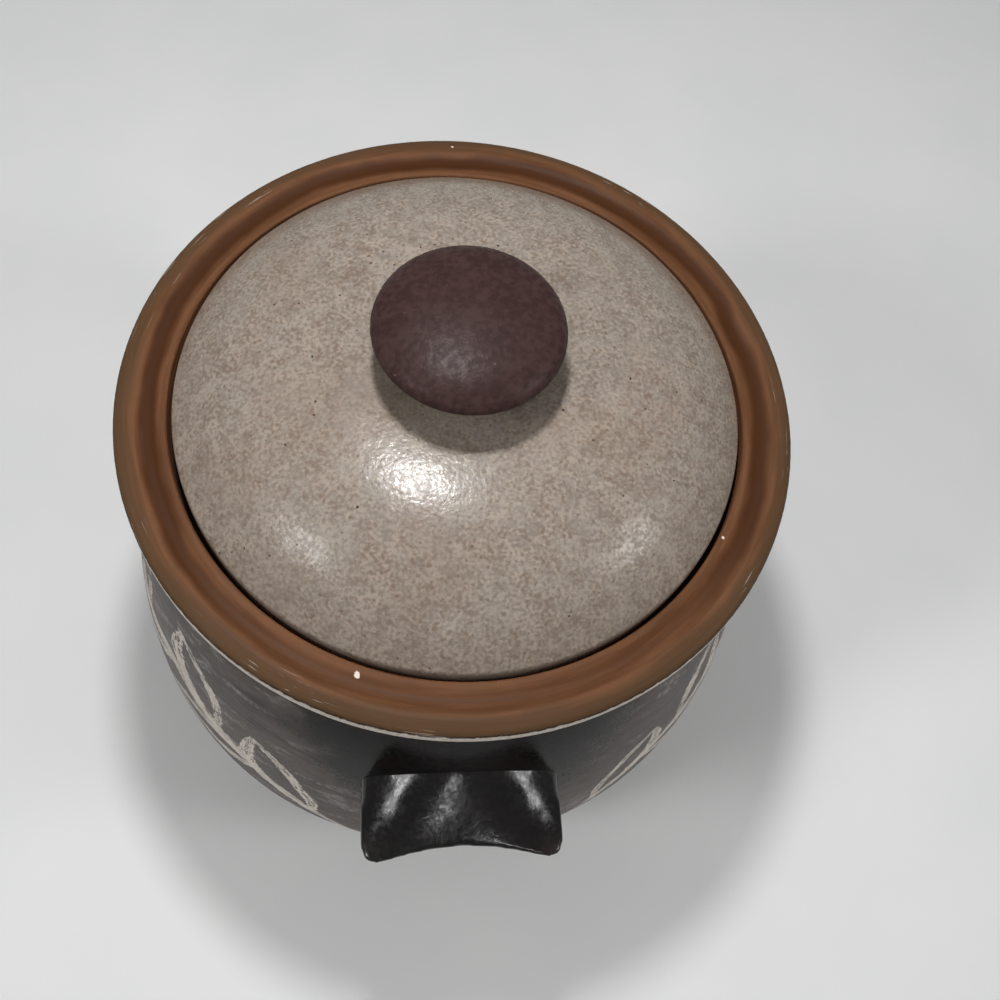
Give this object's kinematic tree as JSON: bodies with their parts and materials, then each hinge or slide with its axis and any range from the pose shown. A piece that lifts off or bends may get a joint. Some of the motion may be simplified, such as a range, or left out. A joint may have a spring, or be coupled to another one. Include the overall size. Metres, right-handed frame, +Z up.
{
  "type": "lidded stoneware bean pot",
  "caption": "Round-bellied stoneware pot with a broad rim, lug handles on its wall, and a loose domed lid with a mushroom knob that sits in a ledge inside the rim.",
  "frame": {"origin": "centre of the foot ring's resting plane", "axes": "+Z up along the pot's turning axis, -Y out through the front lug handle"},
  "size_m": [0.179, 0.2014, 0.1898],
  "materials": {
    "slate_glaze": "satin slate-black glaze on the wall, brown glaze on the rim, bare clay on the foot ring",
    "black_glaze": "glossy black glaze",
    "oatmeal_glaze": "semi-gloss speckled oatmeal glaze",
    "iron_glaze": "satin purple-brown iron glaze"
  },
  "bodies": {
    "pot": {"pot_body": "slate_glaze", "lug_handle_front": "black_glaze", "lug_handle_rear": "black_glaze"},
    "cover": {"lid": "oatmeal_glaze", "lid_knob": "iron_glaze"}
  },
  "joints": [
    {"name": "lid_lift", "type": "slide", "parent": "pot", "child": "cover", "axis": [0, 0, 1], "range_m": [0, 0.06]}
  ]
}
